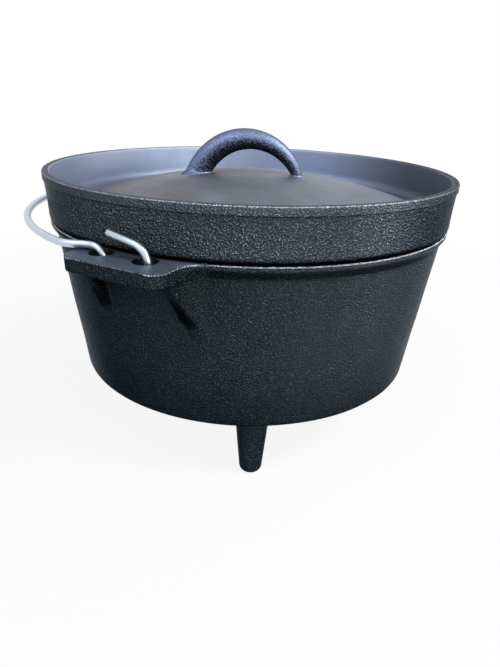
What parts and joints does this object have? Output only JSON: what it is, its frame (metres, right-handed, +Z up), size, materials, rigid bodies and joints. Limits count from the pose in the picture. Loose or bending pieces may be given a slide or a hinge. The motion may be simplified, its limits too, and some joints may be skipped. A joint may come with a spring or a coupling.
{
  "type": "camp dutch oven",
  "caption": "Cast-iron camp dutch oven: a tapered pot on stub legs, a domed lid with an upright coal flange and loop handle, and a swinging wire bail hooked through flat ears.",
  "frame": {"origin": "on the pot's axis, on the plane of the three feet", "axes": "+Z up along the pot's axis, +X from ear to ear along the bail's hinge, +Y towards the side on which the bail lies"},
  "size_m": [0.371, 0.346, 0.2445],
  "materials": {
    "pot_iron": "rough-cast, seasoned",
    "lid_iron": "cast, seasoned satin",
    "bail_wire": "zinc-plated wire"
  },
  "bodies": {
    "pot": {"pot_shell": "pot_iron", "leg_left": "pot_iron", "leg_right": "pot_iron", "leg_back": "pot_iron", "ear_left": "pot_iron", "ear_right": "pot_iron"},
    "lid": {"lid_shell": "lid_iron", "lid_handle": "lid_iron"},
    "bail": {"bail": "bail_wire"}
  },
  "joints": [
    {"name": "lid_lift", "type": "slide", "parent": "pot", "child": "lid", "axis": [0, 0, 1], "range_m": [0, 0.2]},
    {"name": "bail_swing", "type": "hinge", "parent": "pot", "child": "bail", "pos_m": [0, 0.0035, 0.17425], "axis": [1, 0, 0], "range_deg": [0, 115]}
  ]
}
